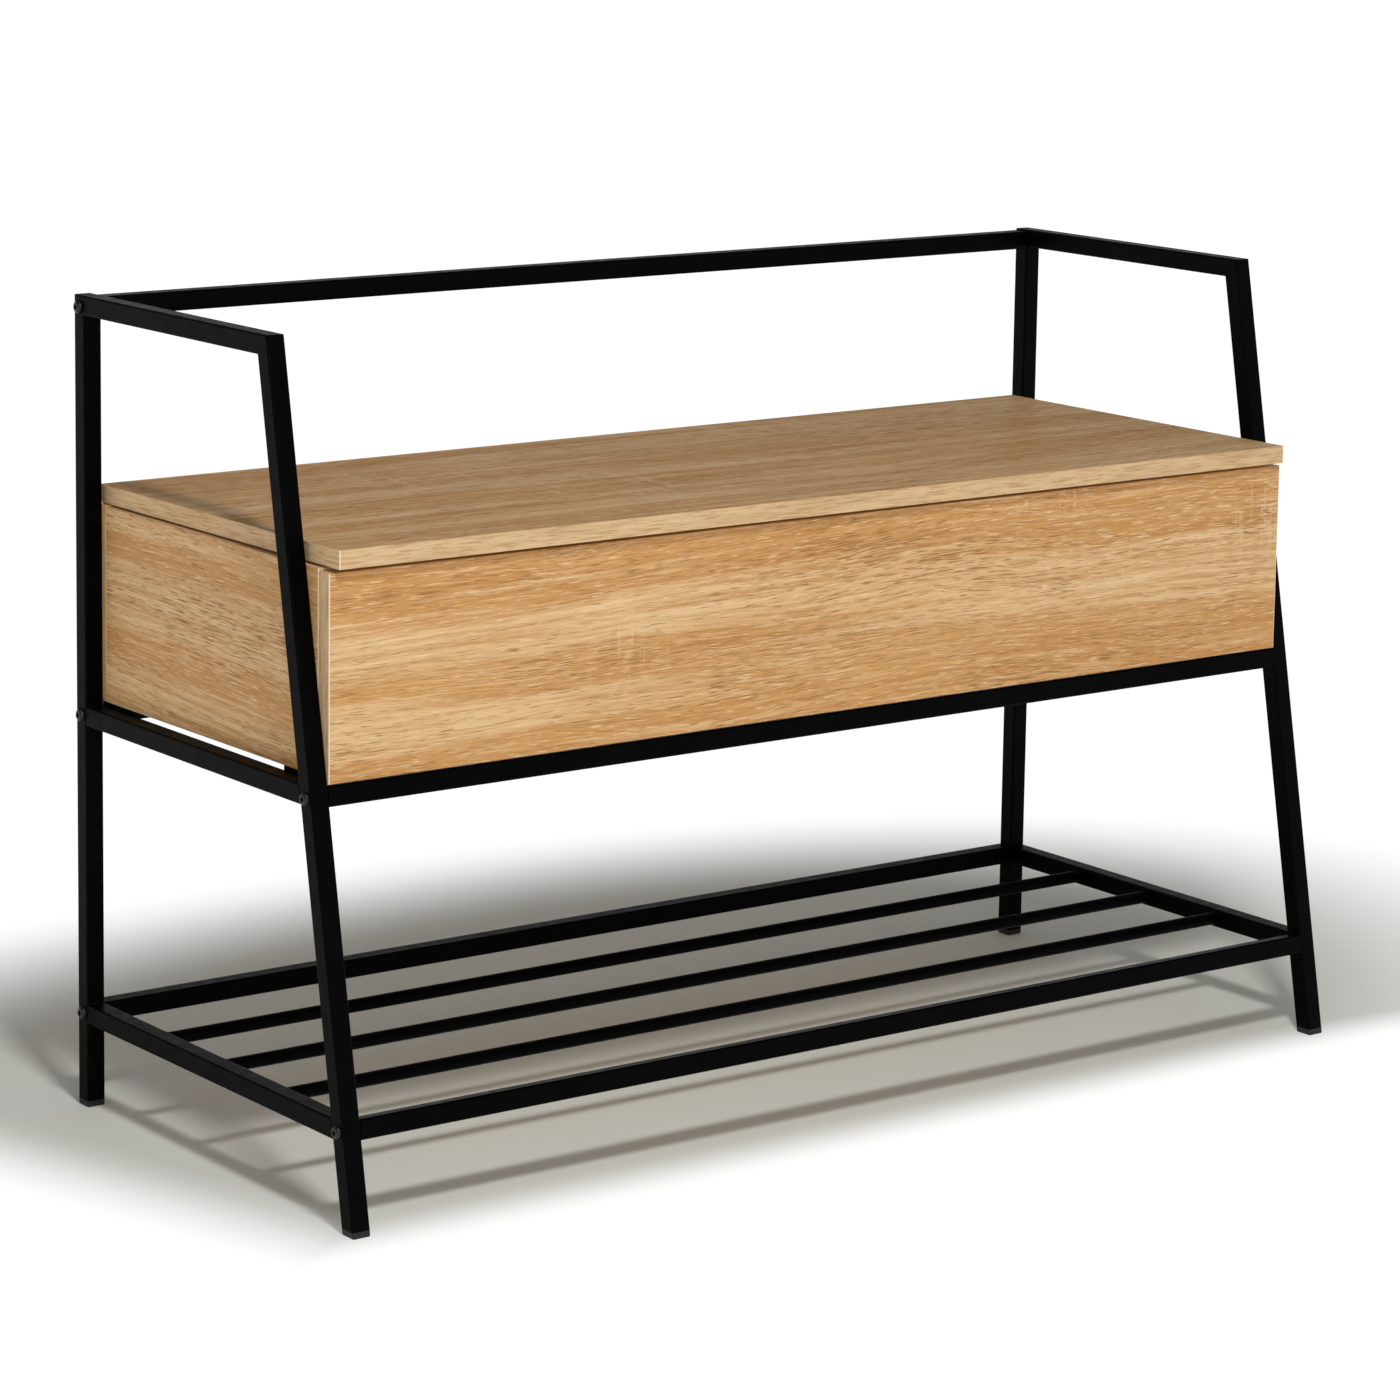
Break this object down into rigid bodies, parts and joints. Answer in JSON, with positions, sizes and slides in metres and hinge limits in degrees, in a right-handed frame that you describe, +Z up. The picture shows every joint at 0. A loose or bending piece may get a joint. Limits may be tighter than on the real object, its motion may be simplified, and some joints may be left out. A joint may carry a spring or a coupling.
{
  "type": "storage bench",
  "caption": "Entryway bench: black steel tube frame with low arms, oak-look storage box under a hinged seat lid, rod shoe shelf below.",
  "frame": {"origin": "centre of the footprint, on the floor under the foot caps", "axes": "+X along the bench to its right end seen from the front, +Y to the back, +Z up"},
  "size_m": [1.0064, 0.4148, 0.665],
  "materials": {
    "frame": "black satin powder coat",
    "foot_cap": "moulded black plastic",
    "box_board": "satin oak-look laminated board",
    "lid_board": "satin oak-look laminated board",
    "zinc": "bright zinc plated",
    "black_screw": "black oxide",
    "hinge": "black lacquered steel",
    "dowel": "plain beech",
    "bumper": "soft rubber"
  },
  "bodies": {
    "frame and box": {"left_rear_leg": "frame", "left_front_leg": "frame", "left_arm_rail": "frame", "left_middle_rail": "frame", "left_low_rail": "frame", "right_rear_leg": "frame", "right_front_leg": "frame", "right_arm_rail": "frame", "right_middle_rail": "frame", "right_low_rail": "frame", "rear_top_rail": "frame", "rear_middle_rail": "frame", "rear_low_rail": "frame", "front_middle_rail": "frame", "front_low_rail": "frame", "shelf_rod_front": "frame", "shelf_rod_middle": "frame", "shelf_rod_rear": "frame", "box_brackets": "frame", "rail_end_nuts": "zinc", "frame_bolts": "black_screw", "foot_cap_left_rear": "foot_cap", "foot_cap_right_rear": "foot_cap", "foot_cap_left_front": "foot_cap", "foot_cap_right_front": "foot_cap", "front_panel": "box_board", "back_panel": "box_board", "left_side_panel": "box_board", "right_side_panel": "box_board", "bottom_panel": "box_board", "panel_dowels": "dowel", "cam_locks": "zinc", "cam_bolts": "zinc", "bracket_screws": "zinc", "lid_bumpers": "bumper", "hinge_box_leaves": "hinge", "hinge_pins": "hinge", "hinge_box_screws": "hinge"},
    "lid": {"lid": "lid_board", "hinge_lid_leaves": "hinge", "hinge_lid_screws": "hinge"}
  },
  "joints": [
    {"name": "lid_hinge", "type": "hinge", "parent": "frame and box", "child": "lid", "pos_m": [0, 0.2048, 0.49525], "axis": [-1, 0, 0], "range_deg": [0, 78]}
  ]
}
